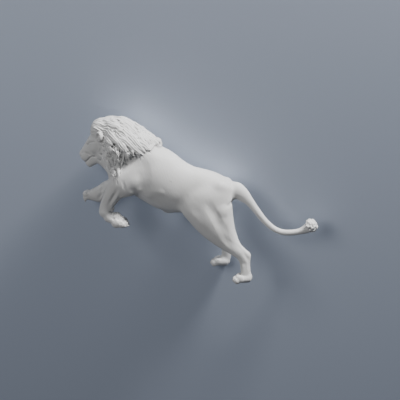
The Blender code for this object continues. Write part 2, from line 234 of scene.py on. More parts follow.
# %% [markdown]
# ## Trunk, legs, tail and the mass of the mane
# These are the big forms. The mane starts as a plain mass a little inside its true outline,
# because its locks are laid on top of it later and bring it out to size.

# %% Loft the big forms
forms = [
    loft("trunk", TRUNK), loft("mane_mass", MANE), loft("near_foreleg", NEAR_FORE),
    loft("far_foreleg", FAR_FORE), loft("near_hind_leg", NEAR_HIND),
    loft("far_hind_leg", FAR_HIND), loft("tail", TAIL),
]
print("big forms", [form.name for form in forms])

# %% [markdown]
# ## Muscles
# Under a lion's short coat the shoulder blade, elbow, ribs, haunch and thigh show as soft
# swellings. A sculptor presses pellets of clay onto the core for them, and each pellet here is a
# stretched sphere, given by its centre, its radii and its turn. Most come in pairs, one on each
# side. The hips and the backs of the thighs follow the stride, so each is set by itself.

# %% Add the muscles
MUSCLES = [
    (86, 13.6, 116, 15, 5.2, 13, 35), (101, 14.6, 99, 16, 5.8, 9.5, 30),
    (94, 14.8, 91, 12, 5.6, 7, -20), (115, 11, 103, 7, 7, 10, 0),
    (117, 5, 95, 8, 6, 8, 0), (76, 15, 92, 16, 5, 13, 30), (59, 13.5, 88, 14, 4.5, 14, 20),
    (21, 8.8, 95.4, 8, 4, 3.8, 12), (31, 12, 70, 17, 7.3, 10, -42),
    (17, 15.5, 52, 13, 5.3, 7, -35),
]
forms += pairs(MUSCLES)
forms += [ball((10, 10, 90), (12, 7.2, 11)), ball((10, -10, 87.4), (12, 7, 7.8))]
forms += [ball((6, 13, 69), (8, 6.5, 16), 12), ball((13, -13, 69), (8, 6.5, 16), 12)]
forms += [ball((62, 0, 62.5), (9, 3.6, 3.6), 10), ball((131.2, 0, 143.2), (12, 10.8, 12))]
print("forms so far", len(forms))

# %% [markdown]
# ## The head
# The head has a frame of its own, tipped nose down and turned a little, so its forms can be
# placed by how far forward and how high they sit in the skull. A lion's face is a long flat
# nose bridge, a deep square muzzle, a strong chin and cheekbones that stand out under the eyes.

# %% Build the head
HEAD_BASE = (122.4, 0, 136.5)
HEAD_PITCH = 33
HEAD_YAW = -9
SKULL = [
    (-2, 5, 0, -6, 7), (5, 11, 5, -10, 11), (11, 13, 11, -12, 12), (17, 12.8, 16, -13, 10.8),
    (21.5, 11.2, 21, -12.5, 8.6), (26, 9, 26, -10.5, 6.8), (31, 6.7, 31.5, -9.4, 6),
    (36, 4.3, 36.3, -9.2, 5.5), (39.2, 3, 39.4, -8.8, 4.2), (40.9, 0.8, 40.8, -7.6, 2.2),
]
JAW = [
    (10, -6, 10, -15, 9), (20, -5.4, 19, -16.2, 7), (28, -5.6, 27, -16.8, 5.8),
    (34, -6, 33, -16.6, 5.1), (38, -7.2, 37.4, -15.8, 4.1), (40, -9.2, 39.4, -14.4, 2.2),
]
HEAD_FORMS = [
    (14.5, 8.2, -0.5, 9, 3, 5, 20), (20.2, 4.3, 8.2, 4.4, 2.8, 1.5, 28),
    (33.6, 3.6, -4.4, 5.4, 2.9, 4.4, 6), (27, 4.4, -5.4, 7, 2.6, 3.4, 10),
    (12, 8.4, -10, 8, 3, 5, 0),
]
head = (
    Matrix.Translation(HEAD_BASE)
    @ Matrix.Rotation(math.radians(HEAD_YAW), 4, "Z")
    @ Matrix.Rotation(math.radians(HEAD_PITCH), 4, "Y")
)
forms += [loft("skull", SKULL, head), loft("jaw", JAW, head)]
forms += pairs(HEAD_FORMS, head)
forms.append(ball((38.6, 0, 1.2), (2.4, 2.9, 1.9), 30, head))
forms.append(ball((36.6, 0, -14.2), (3.2, 3.4, 2.8), 0, head))
forms.append(ball((37.6, 0, -5.6), (3.4, 4, 3.6), 0, head))
print("forms in all", len(forms))

# %% [markdown]
# ## The far forepaw is closed
# It is raised in front of the chest with the toes curled under, so it reads as a round fist. The
# back of the paw and the wrist go in with the big forms, to be melted smooth.

# %% Back of the closed paw
FIST = Vector((149.6, -13.5, 69.2))
forms += [
    ball(FIST, (5.8, 5.8, 5.6), 20), ball(FIST + Vector((-5, 0.2, 0)), (6.4, 5.2, 6.4), 10),
    ball(FIST + Vector((-11, 0.2, -0.6)), (8, 5, 7), 10),
]
print("closed paw started")

# %% [markdown]
# ## Melting the forms together
# Clay pellets are smeared into one body with the thumb. The voxel Remesh does it here: it keeps
# only the outer skin of everything that overlaps, as even small squares. A few rounds of Smooth
# take the steps between two forms away.

# %% Melt the body
lion = joined("lion_figure", forms)
applied(lion, "REMESH", mode="VOXEL", voxel_size=BODY_VOXEL)
applied(lion, "SMOOTH", factor=0.5, iterations=12)
print("body skin", len(lion.data.polygons), "squares")

# %% [markdown]
# ## A smoothing brush that knows where it is
# The Smooth modifier thins a tail as readily as it softens a cheek. This brush rubs only where a
# mask says, so the trunk, shoulders and face get soft passages and the thin parts keep their
# girth. It moves each point towards the middle of its neighbours.


# %% Brush tools
def mesh_arrays(piece):
    count = len(piece.data.vertices)
    places = np.empty(count * 3)
    normals = np.empty(count * 3)
    piece.data.vertices.foreach_get("co", places)
    piece.data.vertices.foreach_get("normal", normals)
    return places.reshape(-1, 3), normals.reshape(-1, 3)


def set_places(piece, places):
    piece.data.vertices.foreach_set("co", places.ravel())
    piece.data.update()


def rub(piece, mask, rounds, strength=0.5):
    places, _ = mesh_arrays(piece)
    ends = np.empty(len(piece.data.edges) * 2, dtype=np.int64)
    piece.data.edges.foreach_get("vertices", ends)
    one, two = ends[0::2], ends[1::2]
    count = len(places)
    degree = np.maximum(np.bincount(one, minlength=count) + np.bincount(two, minlength=count), 1)
    weight = (mask(places) * strength)[:, None]
    for _ in range(rounds):
        total = np.empty_like(places)
        for axis in range(3):
            along = places[:, axis]
            total[:, axis] = np.bincount(one, along[two], count) + np.bincount(two, along[one], count)
        places += weight * (total / degree[:, None] - places)
    set_places(piece, places)


def bump_mask(*spots):
    """A mask that is 1 inside each sphere (x, y, z, radius) and fades out to half as far again."""

    def mask(places):
        most = np.zeros(len(places))
        for x, y, z, radius in spots:
            away = np.linalg.norm(places - (x, y, z), axis=1)
            most = np.maximum(most, np.clip((1.5 * radius - away) / (0.5 * radius), 0, 1))
        return most

    return mask


# %% Soften the passages
SOFT_PASSAGES = [
    (26, ((88, 0, 108, 30), (58, 0, 90, 26), (25, 0, 82, 24))),
    (70, ((36, 0, 76, 17), (18, 0, 66, 16), (20, 0, 96, 12))),
    (60, ((104, 0, 132, 22), (88, 0, 128, 20))),
    (150, ((76, 9, 130, 8), (76, -9, 130, 8), (78, 16, 124, 10), (78, -16, 124, 10))),
    (8, ((*(head @ Vector((24, 0, -1))), 12),)),
]
for rounds, spots in SOFT_PASSAGES:
    rub(lion, bump_mask(*spots), rounds)
print("soft passages rubbed", len(SOFT_PASSAGES))

# %% [markdown]
# ## The tuft on the withers
# Where the mane ends on the back it stands up once more in a low tuft. It is added after the
# rubbing, which would wear it away, and melted in with a second Remesh.

# %% Set the tuft of the withers
withers = [ball((75.8, 0, 131.2), (5.8, 6, 5.2), -25), ball((82, 0, 132.4), (8, 8.4, 5.8), -34)]
lion = joined("lion_figure", [lion] + withers)
applied(lion, "REMESH", mode="VOXEL", voxel_size=BODY_VOXEL)
applied(lion, "SMOOTH", factor=0.5, iterations=10)
print("skin with withers", len(lion.data.polygons), "squares")

# %% [markdown]
# ## Paws
# A lion's paw is a thick pad with four round toes and a claw in each. Each open paw is lofted
# along its own length from a root at the wrist or heel, and rounder forms close the wrist and
# heels. The claws are cones, bent over their length, because a straight cone reads as a thorn.


# %% Paw tools
def skin_tube(mesh, points, normals, widths, heights, sides=8):
    """Lays rings of points around a path and skins them: used where there are hundreds."""
    rings = []
    last = len(points) - 1
    for i, (point, normal) in enumerate(zip(points, normals)):
        along = (points[min(last, i + 1)] - points[max(0, i - 1)]).normalized()
        across = along.cross(normal).normalized()
        ring = []
        for k in range(sides):
            a = 2 * math.pi * k / sides
            around = across * (widths[i] * math.cos(a)) + normal * (heights[i] * math.sin(a))
            ring.append(mesh.verts.new(point + around))
        rings.append(ring)
    for one, two in zip(rings, rings[1:]):
        for k in range(sides):
            n = (k + 1) % sides
            mesh.faces.new((one[k], one[n], two[n], two[k]))
    mesh.faces.new(rings[0][::-1])
    mesh.faces.new(rings[-1])


def mesh_piece(name, mesh):
    data = bpy.data.meshes.new(name)
    bmesh.ops.recalc_face_normals(mesh, faces=mesh.faces)
    mesh.to_mesh(data)
    mesh.free()
    piece = bpy.data.objects.new(name, data)
    bpy.context.scene.collection.objects.link(piece)
    return piece


def claw(root, direction, down, length, thick):
    """A cone whose rings are slid along a bend."""
    deselect()
    bpy.ops.mesh.primitive_cone_add(vertices=12, radius1=thick, radius2=thick * 0.4, depth=length)
    piece = bpy.context.object
    bpy.ops.object.mode_set(mode="EDIT")
    bpy.ops.mesh.select_all(action="SELECT")
    bpy.ops.mesh.subdivide(number_cuts=3)
    bpy.ops.object.mode_set(mode="OBJECT")
    side = direction.cross(down).normalized()
    drop = side.cross(direction).normalized()
    for v in piece.data.vertices:
        t = v.co.z / length + 0.5
        bent = root + direction * (length * t * (1 - 0.22 * t)) + drop * (-0.5 * length * t * t)
        v.co = bent + side * v.co.x + drop * v.co.y
    return piece


def paw_place(root, tip_down, turn_out=0):
    about_z = Matrix.Rotation(math.radians(turn_out), 4, "Z")
    about_y = Matrix.Rotation(math.radians(tip_down), 4, "Y")
    return Matrix.Translation(root) @ (about_z @ about_y)


TOES = [(-4.9, -1.7), (-1.7, 0), (1.7, 0.1), (4.9, -1.5)]
TOE_JOINTS = [(10.6, 0.94, 0.5, 4.2, 2, 0.4, 28), (14.4, 1, 0.32, 3.6, 1.95, 0.33, 14)]


def paw(place, length, thick, claw_length, wide=1.0):
    """Makes a pad and four toes, each of a knuckle, an end and a claw."""
    k = length / 18
    pad = [
        (-3.4, thick * 0.66, -3, thick * 0.3, 2), (-2.4, thick * 0.86, -2.2, thick * 0.12, 3.6),
        (0, thick, 0.2, 0.1, 4.8), (5, thick * 0.92, 5, 0, 5.8),
        (9, thick * 0.86, 9, 0.2, 5.8), (12, thick * 0.66, 12, 0.6, 4.8),
    ]
    made = [loft("pad", [(a * k, b, c * k, d, w * k * wide) for a, b, c, d, w in pad], place, 28, 4)]
    ahead = (place.to_3x3() @ Vector((1, 0, -0.25))).normalized()
    up = (place.to_3x3() @ Vector((0, 0, 1))).normalized()
    for y, reach in TOES:
        for forward, spread, high, long, broad, deep, turn in TOE_JOINTS:
            spot = Vector(((forward + reach) * k, y * spread * k * wide, thick * high))
            made.append(ball(spot, (long * k, broad * k * wide, thick * deep), turn, place))
        tip = place @ (spot + Vector((2.6 * k, 0, thick * 0.02)))
        made.append(claw(tip, ahead, up, claw_length, 0.26 * claw_length))
    return made


# %% Make the three open paws
paws = paw(paw_place((-21, 22, SOLE_HEIGHT), 0, 10), 15.8, 9.8, 2.4, 1.16)
paws += paw(paw_place((8.6, -20.6, SOLE_HEIGHT), 0), 15.8, 9.8, 2.4, 1.2)
paws += paw(paw_place((121, 13, 61.8), 151), 22, 11.4, 4, 1.05)
WRIST_AND_HEELS = [
    ((126.6, 13, 61.5), (6.6, 5.9, 6.8), 20), ((121.6, 13, 56.7), (7.4, 6.2, 5.8), -32),
    ((115, 13, 56.1), (5.6, 6.2, 5.4), -30), ((111.4, 13, 53), (4.8, 6.2, 5.2), -30),
    ((-19.3, 21.5, 4.6), (5.4, 4.8, 6.6), 10), ((9.8, -21.2, 4.6), (5.4, 4.8, 6.6), 10),
]
paws += [ball(*row) for row in WRIST_AND_HEELS]
print("open paws", len(paws), "forms")

# %% Dewclaw and point of the elbow
paws += [
    ball((119.6, 13.8, 65.6), (2.7, 2.4, 3.2), 20),
    claw(Vector((118.9, 14, 65.4)), Vector((-0.8, 0.1, -0.5)).normalized(), Vector((0, 0, 1)), 2.2, 0.6),
    ball((104.4, 15.6, 82.6), (4, 3.6, 3), 20),
]
print("dewclaw and elbow set")

# %% [markdown]
# ## Toes of the closed forepaw
# Four knuckles stand in front, and under each of them a toe curls down and back to its claw.

# %% Curl the toes
fist = []
for y, out in ((-4.1, -1.3), (-1.45, 0), (1.45, 0.1), (4.1, -1.1)):
    knuckle = FIST + Vector((3.6 + out, y, 1.4))
    fist.append(ball(knuckle, (2.6, 1.7, 3), -30))
    fist.append(ball(knuckle + Vector((0.4, 0, -4)), (2, 1.55, 3), 6))
    root = knuckle + Vector((0.9, 0, -6))
    fist.append(claw(root, Vector((0.2, 0, -1)).normalized(), Vector((1, 0, 0)), 3, 1))
print("closed paw", len(fist), "forms")

# %% [markdown]
# ## Ears
# A lion's ear is a short round cup that stands up from the side of the head and opens to the
# side. It starts as a flattened sphere. The faces that look outwards are inset for the rim and
# pushed in for the hollow, as by hand in edit mode. A tuft of hair fills its back half.

# %% Cup the ears
EAR = (4.4, 12.8, 6.3)
EAR_HEIGHT = 5.4
EAR_WIDTH = 4.7


def ear(side):
    deselect()
    bpy.ops.mesh.primitive_uv_sphere_add(segments=48, ring_count=24, radius=1)
    piece = bpy.context.object
    piece.scale = (3.2, EAR_WIDTH, EAR_HEIGHT)
    bpy.ops.object.transform_apply(location=False, rotation=False, scale=True)
    bpy.ops.object.mode_set(mode="EDIT")
    bpy.ops.mesh.select_all(action="DESELECT")
    mesh = bmesh.from_edit_mesh(piece.data)
    for side_face in mesh.faces:
        side_face.select_set(side_face.normal.x > 0.8)
    bmesh.update_edit_mesh(piece.data)
    bpy.ops.mesh.inset(thickness=0.8)
    bpy.ops.transform.translate(value=(-2.2, 0, 0))
    bpy.ops.mesh.inset(thickness=0.5)
    bpy.ops.transform.translate(value=(-1.5, 0, 0))
    bpy.ops.object.mode_set(mode="OBJECT")
    ahead = Vector((0.833, 0, 0.553))
    opening = (ahead * 0.6 + Vector((0, side * 0.8, 0))).normalized()
    upright = Vector((-0.553, side * 0.3, 0.833))
    upright = (upright - opening * upright.dot(opening)).normalized()
    turned = Matrix((opening, upright.cross(opening), upright)).transposed().to_4x4()
    middle = Vector((EAR[0], side * EAR[1], EAR[2]))
    piece.matrix_world = head @ Matrix.Translation(middle) @ turned
    mesh = bmesh.new()
    out = head.to_3x3() @ opening
    for step in range(4):
        root = middle - ahead * (0.9 * step - 0.6) - upright * (4.6 - 0.5 * step) + opening * 0.5
        curl = []
        for i in range(5):
            bent = opening * (0.9 - 0.2 * (i - 1.5) ** 2) - ahead * (0.12 * i * i)
            curl.append(head @ (root + (upright * (1.75 * i) + bent)))
        skin_tube(mesh, curl, [out] * 5, (0.6, 0.75, 0.7, 0.5, 0.08), (1, 1.1, 0.9, 0.6, 0.08))
    return [piece, mesh_piece("ear_tuft", mesh)]


ears = ear(1) + ear(-1)
print("ears cupped")

# %% [markdown]
# ## Eyes
# The eye is a ball under two lids. The lids are one thin ring, squashed to an almond and
# tipped so that its inner corner points down the nose.

# %% Set the eyes
EYE = (23, 5.2, 6.7)
EYE_RADIUS = 1.5


def eye(side):
    centre = Vector((EYE[0], side * EYE[1], EYE[2]))
    look = Vector((0.45, side * 0.8, 0.4)).normalized()
    level = Vector((0.8, side * -0.45, 0.1))
    level = (level - look * level.dot(look)).normalized()
    turned = Matrix((level, look.cross(level), look)).transposed().to_4x4()
    made = [ball(centre, (EYE_RADIUS,) * 3, 0, head)]
    deselect()
    bpy.ops.mesh.primitive_torus_add(
        major_segments=28, minor_segments=10, major_radius=1.5, minor_radius=0.42
    )
    lids = bpy.context.object
    for v in lids.data.vertices:
        reach = min(1, abs(v.co.x) / 1.8)
        v.co.x *= 1.4
        v.co.y *= 0.72 * (1 - 0.35 * reach * reach)
        v.co.z -= 0.9 * reach * reach
    lids.matrix_world = head @ Matrix.Translation(centre + look * 0.85) @ turned
    return made + [lids]


eyes = eye(1) + eye(-1)
print("eyes set")

# %% [markdown]
# ## A side view to measure in
# Most of what shows was measured off one side view, taken from ten degrees behind square and
# nineteen above. U runs to the right in it and V down, in centimetres of the animal. A point in
# that view is brought onto the figure by a ray, and onto the other side by the mirrored ray.

# %% Side view tools
SEEN_RIGHT = Vector((-0.98481, -0.17365, 0))
SEEN_UP = Vector((0.05653, -0.32062, 0.94552))
SEEN_BACK = Vector((-0.16419, 0.93115, 0.32557))
SEEN_U = 231.5
SEEN_V = 272.75


def seen(point):
    near = Vector((point.x, abs(point.y), point.z))
    return SEEN_U + SEEN_RIGHT.dot(near), SEEN_V - SEEN_UP.dot(near)


def touch(tree, u, v, side=1):
    """The place on the skin that shows at (u, v), or its twin on the other side."""
    flip = Vector((1, side, 1))
    start = (SEEN_RIGHT * (u - SEEN_U) + SEEN_UP * (SEEN_V - v) + SEEN_BACK * 150) * flip
    hit = tree.ray_cast(start, -SEEN_BACK * flip)[0]
    return hit or tree.find_nearest(start - SEEN_BACK * flip * 135)[0]


def skin_tree(piece):
    solid = bmesh.new()
    solid.from_mesh(piece.data)
    tree = BVHTree.FromBMesh(solid)
    solid.free()
    return tree


# %% [markdown]
# ## How the hair lies
# Mane hair grows back from the face and falls with its weight. Each row says at a place on the
# side of the lion how many degrees below straight back the hair runs. Between the rows the
# angle is blended, and one slow wave is added to all of it, so neighbours wave together and
# never cross. That is what makes hair look combed and not tangled.

# %% Hair flow
HAIR_FLOW = [
    (90, 128, -30), (92, 122, -18), (98, 122, -6), (93, 129, 0), (105, 119, 0), (105, 126, 4),
    (100, 130, 2), (112, 122, 6), (112, 128, 14), (120, 121, 12), (120, 128, 22), (128, 124, 24),
    (128, 132, 35), (136, 130, 36), (144, 136, 40), (152, 140, 40), (160, 142, 42),
    (106, 133, 35), (112, 135, 36), (118, 134, 34), (124, 138, 42), (110, 139, 45),
    (116, 141, 44), (122, 145, 56), (106, 142, 48), (112, 147, 60), (118, 150, 74),
    (124, 152, 80), (130, 150, 62), (136, 148, 50), (142, 148, 48), (104, 150, 50),
    (110, 156, 55), (104, 158, 48), (110, 165, 60), (116, 160, 80), (120, 168, 86),
    (126, 160, 80), (98, 164, 42), (103, 169, 55), (108, 174, 70), (131, 160, 70),
    (135, 165, 84), (150, 165, 72), (140, 180, 88), (160, 180, 66), (175, 165, 52),
    (190, 172, 45), (205, 175, 38), (220, 182, 42), (230, 192, 60), (215, 205, 60),
    (205, 225, 62), (190, 205, 62), (170, 200, 66), (225, 225, 75), (240, 250, 50),
    (246, 265, 88), (150, 150, 50), (165, 152, 42), (180, 160, 38), (120, 185, 95),
    (112, 195, 115), (105, 208, 110), (128, 190, 85), (250, 200, 42), (270, 225, 50),
]
FLOW = np.array(HAIR_FLOW, dtype=float)
WAVE_LENGTH = 9.5
WAVE_ANGLE = 23
FACE = Vector((146, 0, 134))


def flow_at(point, waving=1.0):
    u, v = seen(point)
    weight = 1 / ((u - FLOW[:, 0]) ** 2 + (v - FLOW[:, 1]) ** 2 + 5) ** 1.7
    angle = float((weight * FLOW[:, 2]).sum() / weight.sum())
    away = (point - FACE).length
    phase = 2 * math.pi * away / WAVE_LENGTH + 1.4 * math.sin(0.16 * u)
    phase += 1.2 * math.sin(0.19 * v + 0.1 * point.y)
    angle = math.radians(angle + waving * WAVE_ANGLE * math.sin(phase))
    along = SEEN_RIGHT * math.cos(angle) - SEEN_UP * math.sin(angle)
    side = max(-1, min(1, point.y / 6))
    along.y = abs(along.y) * side * 0.5
    if point.z > 130:
        along.y += 0.4 * side * max(0, 1 - abs(point.y) / 18)
    return along


# %% [markdown]
# ## Where the mane ends
# This is the lower and rear edge of the long hair in the side view. Locks stop there, give or
# take a little, and the short coat of the shoulder begins.

# %% Edge of the mane
MANE_EDGE = [
    (90, 172), (104, 175), (112, 180), (119, 179), (124, 167), (133, 159.5), (140, 156.5),
    (147, 154), (152, 148.5), (157, 146), (163, 147), (168, 146),
]


def inside_mane(point):
    """How far, in the side view, the long hair still reaches down from here."""
    u, v = seen(point)
    return float(np.interp(u, [e[0] for e in MANE_EDGE], [e[1] for e in MANE_EDGE])) - v


# %% [markdown]
# ## Strands side by side
# Carved hair is a set of round strands that run side by side with a groove between each two.
# Hundreds of them have to follow a curved skin, so code walks over the skin in short steps along
# the hair and stops where another strand is already too near. That keeps them parallel and
# leaves no bald places. Each strand starts under the skin and ends in a point. Short strands
# only fill gaps deep in the mane, because at its edge they look like crumbs.

# %% Where long hair grows
FACE_EDGE = [
    (-16.6, 20), (-13.4, 17), (-10, 13.4), (-6.5, 10.8), (-2.5, 9), (1.6, 9), (8, 11.6),
    (11.8, 13.2), (12.8, 16), (13.4, 30),
]
EAR_SPOTS = [head @ Vector((EAR[0] + 1.2, side * (EAR[1] + 1), EAR[2])) for side in (1, -1)]
EAR_CLEARANCE = 5
to_head = head.inverted()
STEP = 1.0


def clear_of_ears(point):
    return all((point - spot).length > EAR_CLEARANCE for spot in EAR_SPOTS)


def hairy(point, slack=0):
    """True inside the mane's edge, off the bald face and off the ears."""
    if point.x < 60 or point.z < 96 or inside_mane(point) < slack or not clear_of_ears(point):
        return False
    at = to_head @ point
    return at.x < float(np.interp(at.z, [e[0] for e in FACE_EDGE], [e[1] for e in FACE_EDGE]))


# %% Strand tools
def comb(tree, starts, gap, shortest, longest, seed):
    """Traces lines along the hair that keep a gap from each other, and returns them."""
    dice = random.Random(seed)
    taken = {}
    lines = []

    def crowded(point, limit):
        x, y, z = (int(v // gap) for v in point)
        cells = [(x + i, y + j, z + k) for i in (-1, 0, 1) for j in (-1, 0, 1) for k in (-1, 0, 1)]
        return any((point - other).length < limit for cell in cells for other in taken.get(cell, ()))

    def follow(start, sign, most):
        trail = []
        slack = dice.uniform(-2.5, 2)
        place, normal = tree.find_nearest(start)[:2]
        while len(trail) < most and hairy(place, slack) and not crowded(place, 0.8 * gap):
            trail.append((place, normal))
            along = flow_at(place) * sign
            along = (along - normal * along.dot(normal)).normalized()
            place, normal = tree.find_nearest(place + along * STEP)[:2]
        return trail

    order = list(range(len(starts)))
    dice.shuffle(order)
    for k in order:
        if crowded(starts[k], gap) or not hairy(starts[k]):
            continue
        most = dice.randint(longest // 2, longest)
        line = follow(starts[k], -1, most // 2)[:0:-1] + follow(starts[k], 1, most)
        if len(line) < shortest:
            continue
        lines.append(line)
        for place, _ in line:
            taken.setdefault(tuple(int(v // gap) for v in place), []).append(place)
    return lines


def swell(count, blunt):
    last = count - 1
    return [max(0.08, min(1, blunt + 3 * i / last) * (1 - (i / last) ** 4)) for i in range(count)]


def relief(place):
    """Strands lie flat over the brow, crown and withers and stand high on the sides."""
    u, v = seen(place)
    brow = min(1, max(0.3, 0.3 + (u - 91) / 17))
    crown = min(1.1, max(0.6, 0.6 + (v - 120) / 25))
    return brow * crown * min(1, max(0.35, (163 - u) / 15))


def lay_strand(mesh, line, width, height, lift):
    size = swell(len(line), 0.35)
    stand = [relief(place) for place, _ in line]
    points = [p + n * (lift * r * v - 0.6 * (1 - v)) for (p, n), v, r in zip(line, size, stand)]
    heights = [height * v * r for v, r in zip(size, stand)]
    skin_tube(mesh, points, [n for _, n in line], [width * v for v in size], heights)


def lay_lock(mesh, line, width, height, strands, rise):
    """Lays strands that draw together to one tip, and lifts the lock off the skin."""
    last = len(line) - 1
    size = swell(len(line), 0.5)
    points = []
    for i, (place, normal) in enumerate(line):
        t = i / last
        points.append(place + normal * (rise * min(1, 3 * t - 0.5) * (1 - 0.35 * t**4)))
    for s in range(strands):
        off = s - (strands - 1) / 2
        placed = []
        for i, (_, normal) in enumerate(line):
            along = points[min(last, i + 1)] - points[max(0, i - 1)]
            across = along.cross(normal).normalized()
            t = i / last
            aside = across * (off * width * 1.9 * (1 - 0.85 * t**3))
            placed.append(points[i] + aside - normal * (0.25 * height * abs(off)))
        skin_tube(mesh, placed, [n for _, n in line], [width * v for v in size], [height * v for v in size])


# %% Lay the mane
tree = skin_tree(lion)
hair = bmesh.new()
starts = [v.co.copy() for v in lion.data.vertices if v.co.x > 60 and v.co.z > 96]
dice = random.Random(2)
under = comb(tree, starts, 1.42, 4, 26, 4)
SHORT = 6


def deep_in(line):
    return inside_mane(line[-1][0]) > 8 and seen(line[0][0])[0] > 110


under = [line for line in under if len(line) > SHORT or deep_in(line)]
for line in under:
    lay_strand(hair, line, 0.78, 1.5, dice.uniform(-0.2, 0.5))
upper = [line for line in comb(tree, starts, 6, 9, 18, 8) if abs(line[0][1].y) > 0.35]
upper = [line for line in upper if seen(line[0][0])[0] > 103 and seen(line[-1][0])[0] < 146]
for line in upper:
    lay_lock(hair, line, dice.uniform(0.75, 0.95), 1.25, dice.choice((2, 3, 3)), dice.uniform(0.8, 1.4))
print("mane strands", len(under), "and locks over them", len(upper))

# %% [markdown]
# ## Locks that stand out
# A few locks are long and bold enough to be known one by one: the last long ones behind the
# shoulder, the curl under the ear, one smooth lock that hangs on the chest, and the tuft on the
# withers. Their paths are measured in the side view.

# %% Lay the bold locks
BOLD_LOCKS = [
    ([(120, 127), (131, 136.5), (139, 146), (146.4, 153.3)], 1.1, 3, 1.5),
    ([(116, 131), (126.5, 141), (136, 150), (144, 155.6)], 1.1, 3, 1.5),
    ([(112, 134), (120, 143), (127, 151.5), (133, 157)], 1.1, 3, 1.5),
    ([(107, 132), (113, 137.5), (118, 142.4), (123, 146)], 1, 3, 1.6),
    ([(105, 136), (108.5, 140.5), (112, 144), (115, 146)], 1, 3, 1.6),
    ([(131, 146), (132.6, 150), (133.6, 153.4), (133.8, 156)], 1.3, 1, 1.7),
    ([(116, 147), (117.5, 151), (119, 155), (119.6, 158.6)], 1.3, 1, 1.6),
    ([(117.4, 158), (118.6, 165), (119.7, 172), (120, 179)], 2, 1, 1.9),
    ([(100, 142.8), (102.2, 143.6), (104.6, 144.8), (107, 146.6)], 1.25, 1, 1.5),
    ([(143, 129.5), (149, 132.2), (154, 136.4), (158.6, 142)], 1.2, 3, 1.4),
    ([(147, 132.4), (152.4, 135.8), (157, 139.6), (160.6, 143.6)], 1.2, 3, 1.2),
    ([(144, 134), (150, 138), (155, 141.6), (158.8, 144.8)], 1.1, 3, 1),
    ([(140, 134.4), (146, 138.8), (151, 142.4), (155.4, 146)], 1.1, 3, 0.9),
]
LOCK_HEIGHT = 1.4
for side in (1, -1):
    for path, width, strands, rise in BOLD_LOCKS:
        line = [tree.find_nearest(touch(tree, u, v, side))[:2] for u, v in filled_in(path, 4)]
        lay_lock(hair, line, width, LOCK_HEIGHT, strands, rise)
mane = mesh_piece("mane_locks", hair)
print("bold locks", 2 * len(BOLD_LOCKS))

# %% [markdown]
# ## The tail tuft
# The tuft is a ball of short curls. Their roots follow a spiral over the ball, which spreads
# any number of them evenly.


# %% Curl the tuft
def tuft_curls(seed):
    dice = random.Random(seed)
    heart = Vector((-80, 0, 54.6))
    mesh = bmesh.new()
    for k in range(48):
        high = -0.96 + 1.92 * (k + 0.5) / 48
        turn = k * 2.4
        flat = math.sqrt(1 - high * high)
        out = Vector((flat * math.cos(turn), flat * math.sin(turn), high))
        begin = dice.uniform(0, 6.3)
        size = dice.uniform(0.9, 1.5)
        far = dice.uniform(4.7, 5.5)
        if out.x > 0.8:
            continue
        one = out.orthogonal().normalized()
        two = out.cross(one)
        points = []
        for i in range(9):
            a = begin + 0.62 * i
            points.append(heart + out * (far + 0.14 * i) + (one * math.cos(a) + two * math.sin(a)) * size)
        thick = [1.08 * v for v in (0.8, 1, 1, 1, 1, 1, 0.9, 0.75, 0.45)]
        skin_tube(mesh, points, [out] * 9, thick, [1.1 * v for v in thick])
    return [ball(heart, (5.7, 5.5, 5.7)), mesh_piece("tuft_curls", mesh)]


tuft = tuft_curls(3)
print("tuft curled")

# %% [markdown]
# ## One skin again
# Everything is joined and remeshed once more, much finer. From here on the figure is one closed
# body, as the print is, and only gets carved.

# %% Melt the details in
lion = joined("lion_figure", [lion, mane] + paws + fist + ears + eyes + tuft)
applied(lion, "REMESH", mode="VOXEL", voxel_size=CARVE_VOXEL)
applied(lion, "SMOOTH", factor=0.5, iterations=1)
PAWS = [(-12, 22, 3, 11), (17, -22, 3, 11), (112, 13, 54, 11), (150, -13.5, 69, 8)]
JOINTS = [(128, 13, 61, 6), (119, 13, 56, 6), (113, 13, 55, 4), (-20, 21, 8, 4), (8, -21, 8, 4)]
rub(lion, bump_mask(*PAWS), 4)
rub(lion, bump_mask(*JOINTS), 45)
print("carving skin", len(lion.data.polygons), "squares")

# %% [markdown]
# ## Carving
# A stroke pushes the skin out, or in with a negative depth, along a short line, and fades at
# its edges and ends. It is the same move as a sculptor's loop tool.


# %% Carving tools
CELL = 4.0


def skin_of(piece):
    """The points of a piece, sorted into cells, so that a stroke only looks at those near it."""
    places, normals = mesh_arrays(piece)
    keys = np.floor(places / CELL).astype(int)
    order = np.lexsort(keys.T)
    cuts = np.where((np.diff(keys[order], axis=0) != 0).any(1))[0] + 1
    cells = {tuple(keys[part[0]]): part for part in np.split(order, cuts)}
    return {"places": places, "normals": normals, "moves": np.zeros_like(places), "cells": cells}


